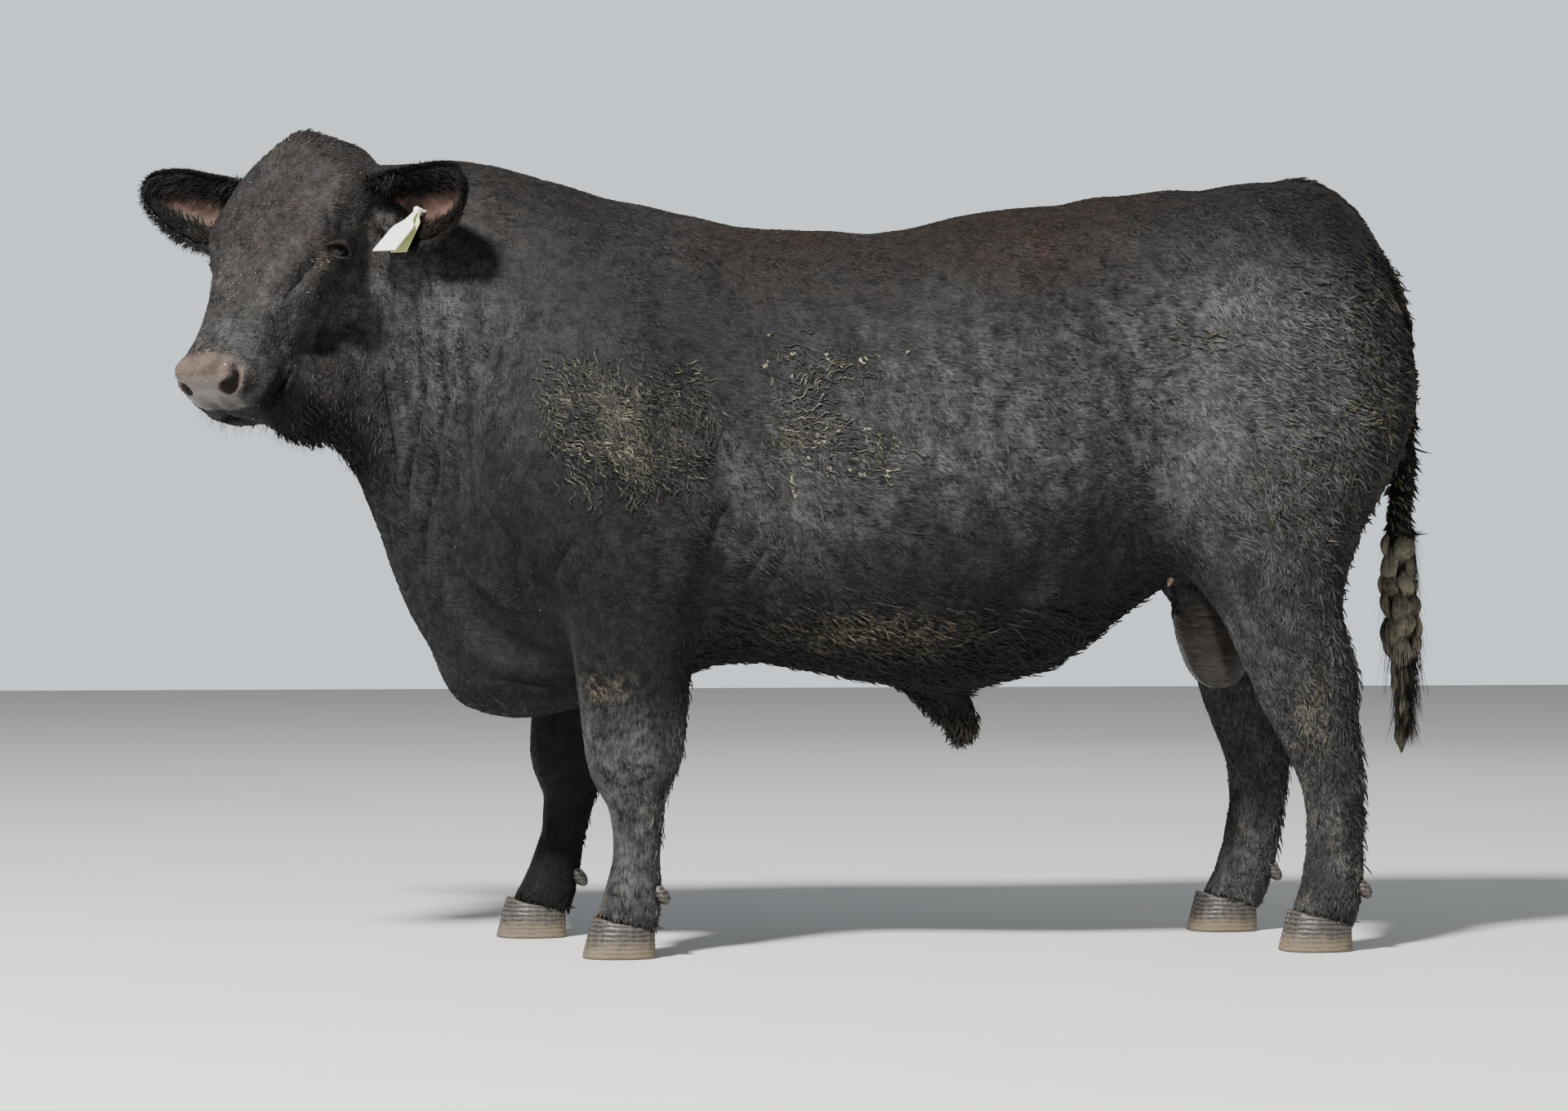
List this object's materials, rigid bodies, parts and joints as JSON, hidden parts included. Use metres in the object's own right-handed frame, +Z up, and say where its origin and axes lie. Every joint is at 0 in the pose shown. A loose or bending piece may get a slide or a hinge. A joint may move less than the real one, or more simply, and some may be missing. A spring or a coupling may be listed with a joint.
{
  "type": "bull",
  "caption": "Life-size standing beef bull, black and polled, its head turned to its left, with a tag in one ear and a long tail switch.",
  "frame": {"origin": "under the middle of the bounding box, on the floor", "axes": "the bull looks along -X, its left side is at -Y, and +Z is up"},
  "size_m": [2.3698, 0.7418, 1.4739],
  "materials": {
    "coat": "short black hair",
    "long hair": "coarse dusty hair",
    "bare skin": "bare wrinkled skin",
    "horn": "dull hoof horn",
    "eye": "wet gloss",
    "white tag": "weathered",
    "yellow tag": "weathered"
  },
  "bodies": {
    "root": {"head": "coat", "neck": "coat", "brisket": "coat", "torso": "coat", "foreleg_left_upper": "coat", "foreleg_left_lower": "coat", "foreleg_right_upper": "coat", "foreleg_right_lower": "coat", "hindleg_left_upper": "coat", "hindleg_left_lower": "coat", "hindleg_right_upper": "coat", "hindleg_right_lower": "coat", "ear_left": "coat", "ear_right": "coat", "tail": "coat", "tail_switch": "long hair", "sheath": "bare skin", "scrotum": "bare skin", "eye_left": "eye", "eye_right": "eye", "ear_tag": "white tag", "ear_tag_second": "yellow tag", "foreleg_left_claw_inner": "horn", "foreleg_left_claw_outer": "horn", "foreleg_left_dewclaw_inner": "horn", "foreleg_left_dewclaw_outer": "horn", "foreleg_right_claw_inner": "horn", "foreleg_right_claw_outer": "horn", "foreleg_right_dewclaw_inner": "horn", "foreleg_right_dewclaw_outer": "horn", "hindleg_left_claw_inner": "horn", "hindleg_left_claw_outer": "horn", "hindleg_left_dewclaw_inner": "horn", "hindleg_left_dewclaw_outer": "horn", "hindleg_right_claw_inner": "horn", "hindleg_right_claw_outer": "horn", "hindleg_right_dewclaw_inner": "horn", "hindleg_right_dewclaw_outer": "horn"}
  },
  "joints": []
}
